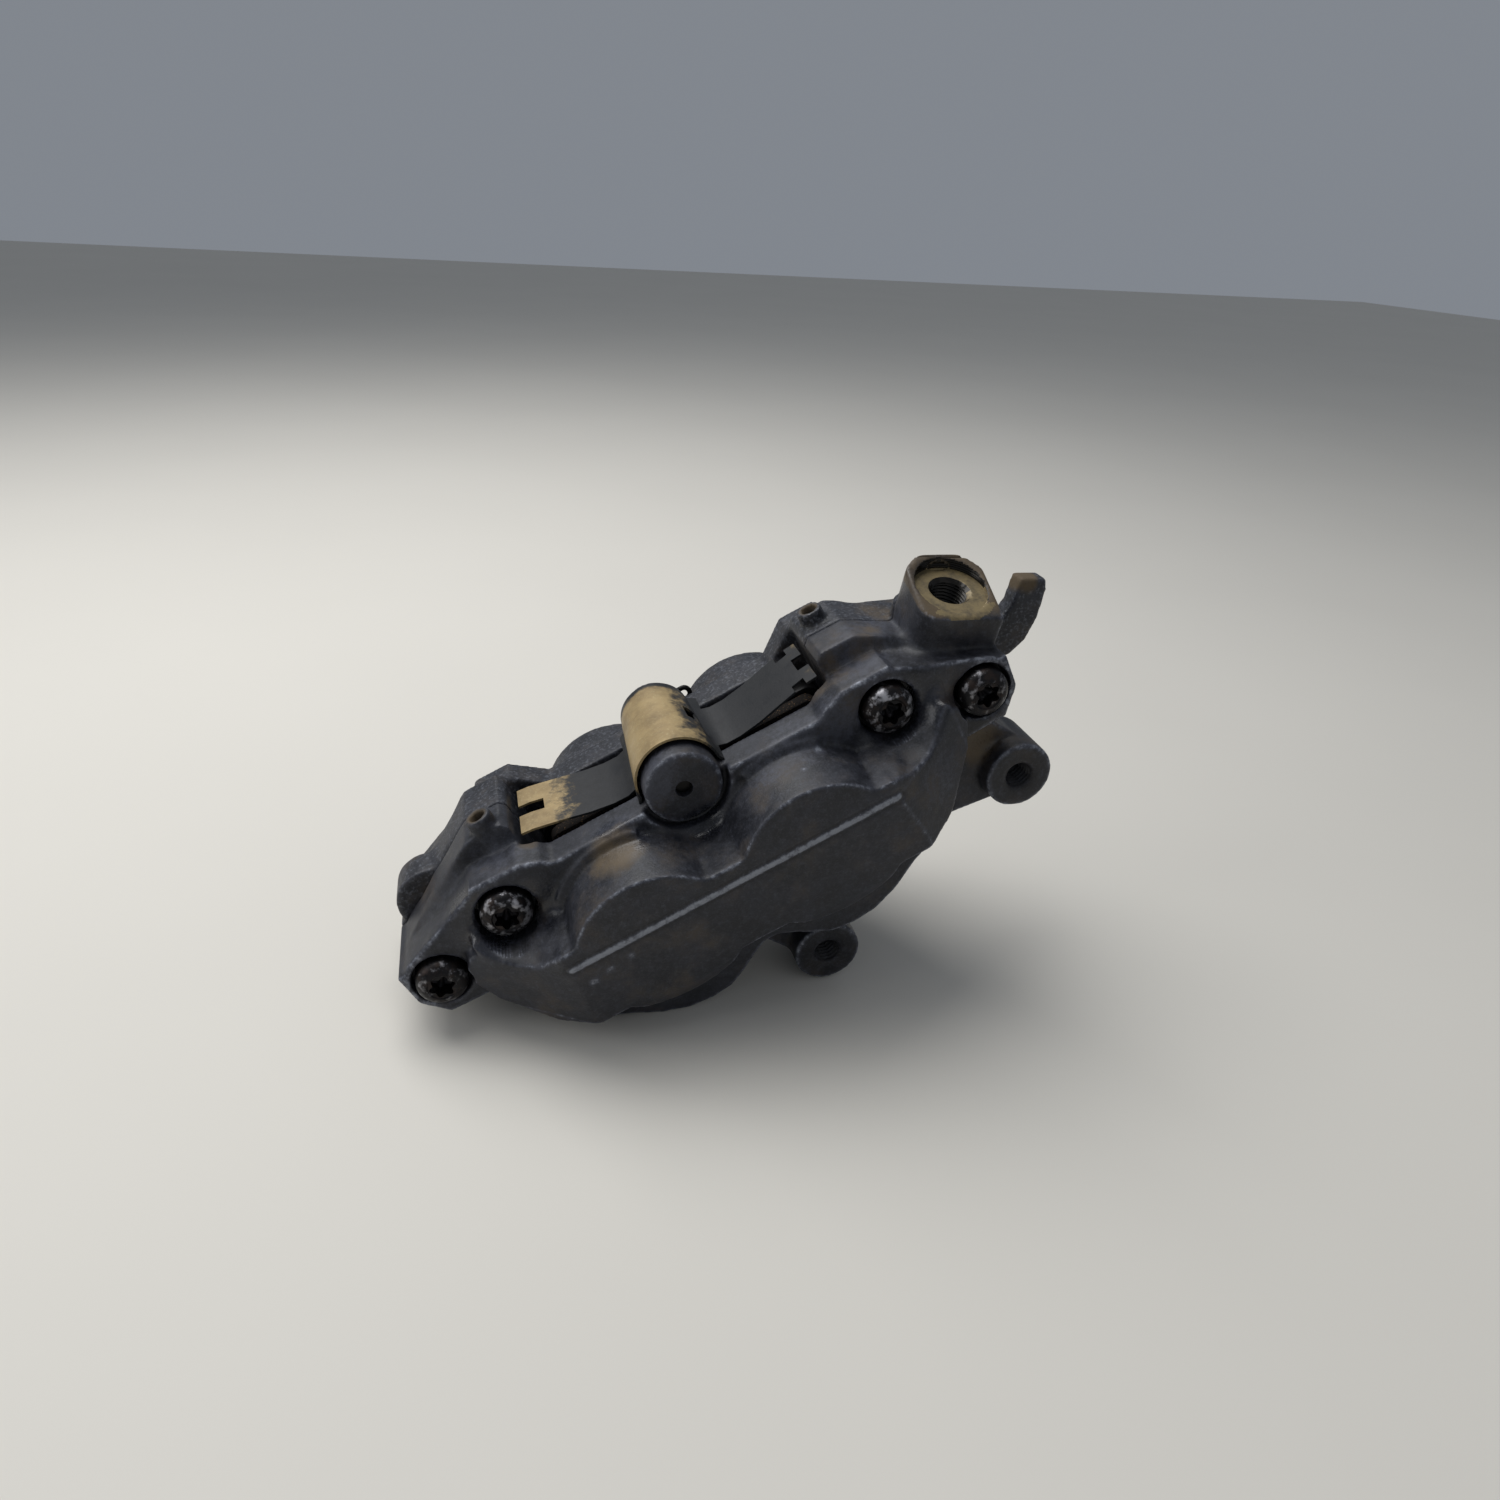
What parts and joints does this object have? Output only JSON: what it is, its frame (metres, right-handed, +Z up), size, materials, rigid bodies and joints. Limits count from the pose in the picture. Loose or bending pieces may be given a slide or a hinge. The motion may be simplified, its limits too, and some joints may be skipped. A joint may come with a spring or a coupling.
{
  "type": "opposed-piston brake caliper",
  "caption": "Fixed opposed-piston disc brake caliper in two bolted halves, with pads, pad pin, sheet spring, threaded mounting lugs and a leaning banjo inlet.",
  "frame": {"origin": "centre of the lower lug's threaded hole, where the full thread starts behind its mouth chamfer on the outboard side", "axes": "+Z up with the caliper lying as it rests on a bench; +Y inboard along the disc's axis, so -Y leaves the lugs' threads; +X along the caliper towards the inlet end"},
  "size_m": [0.1737, 0.078, 0.1158],
  "materials": {
    "casting": "worn matte charcoal paint over cast aluminium",
    "bolt_steel": "blackened steel, rims rubbed silver",
    "pin_steel": "stainless",
    "spring_steel": "sheet steel browned by brake dust",
    "plate_steel": "black powder coat",
    "lining": "sintered friction lining",
    "shim_steel": "satin stainless",
    "piston_metal": "turned, hard anodised grey",
    "seal_rubber": "matte black",
    "bleed_steel": "zinc plated"
  },
  "bodies": {
    "caliper": {"outboard_half": "casting", "inboard_half": "casting", "bridge_bolts": "bolt_steel", "pad_pin": "pin_steel", "pin_clip": "pin_steel", "pad_spring": "spring_steel", "outboard_pressure_seals": "seal_rubber", "inboard_pressure_seals": "seal_rubber", "outboard_dust_seals": "seal_rubber", "inboard_dust_seals": "seal_rubber", "crossover_ring": "seal_rubber"},
    "outboard_pad": {"outboard_backing": "plate_steel", "outboard_lining": "lining", "outboard_shim": "shim_steel"},
    "inboard_pad": {"inboard_backing": "plate_steel", "inboard_lining": "lining", "inboard_shim": "shim_steel"},
    "outboard_left_piston": {"outboard_piston_left": "piston_metal"},
    "outboard_right_piston": {"outboard_piston_right": "piston_metal"},
    "inboard_left_piston": {"inboard_piston_left": "piston_metal"},
    "inboard_right_piston": {"inboard_piston_right": "piston_metal"},
    "bleed": {"bleed_screw": "bleed_steel", "bleed_cap": "seal_rubber"}
  },
  "joints": [
    {"name": "outboard_pad_slide", "type": "slide", "parent": "caliper", "child": "outboard_pad", "axis": [0, 1, 0], "range_m": [0, 0.0026]},
    {"name": "inboard_pad_slide", "type": "slide", "parent": "caliper", "child": "inboard_pad", "axis": [0, -1, 0], "range_m": [0, 0.0026]},
    {"name": "outboard_left_piston_slide", "type": "slide", "parent": "caliper", "child": "outboard_left_piston", "axis": [0, 1, 0], "range_m": [0, 0.0026]},
    {"name": "outboard_right_piston_slide", "type": "slide", "parent": "caliper", "child": "outboard_right_piston", "axis": [0, 1, 0], "range_m": [0, 0.0026]},
    {"name": "inboard_left_piston_slide", "type": "slide", "parent": "caliper", "child": "inboard_left_piston", "axis": [0, -1, 0], "range_m": [0, 0.0026]},
    {"name": "inboard_right_piston_slide", "type": "slide", "parent": "caliper", "child": "inboard_right_piston", "axis": [0, -1, 0], "range_m": [0, 0.0026]},
    {"name": "bleed_screw_turn", "type": "hinge", "parent": "caliper", "child": "bleed", "pos_m": [-0.09332, 0.0491, 0.01576], "axis": [0, 1, 0], "range_deg": [0, 180]}
  ],
  "couplings": [
    {"joint": "outboard_left_piston_slide", "follows": "outboard_pad_slide", "ratio": 1},
    {"joint": "outboard_right_piston_slide", "follows": "outboard_pad_slide", "ratio": 1},
    {"joint": "inboard_left_piston_slide", "follows": "outboard_pad_slide", "ratio": 1},
    {"joint": "inboard_right_piston_slide", "follows": "outboard_pad_slide", "ratio": 1},
    {"joint": "inboard_pad_slide", "follows": "outboard_pad_slide", "ratio": 1}
  ]
}
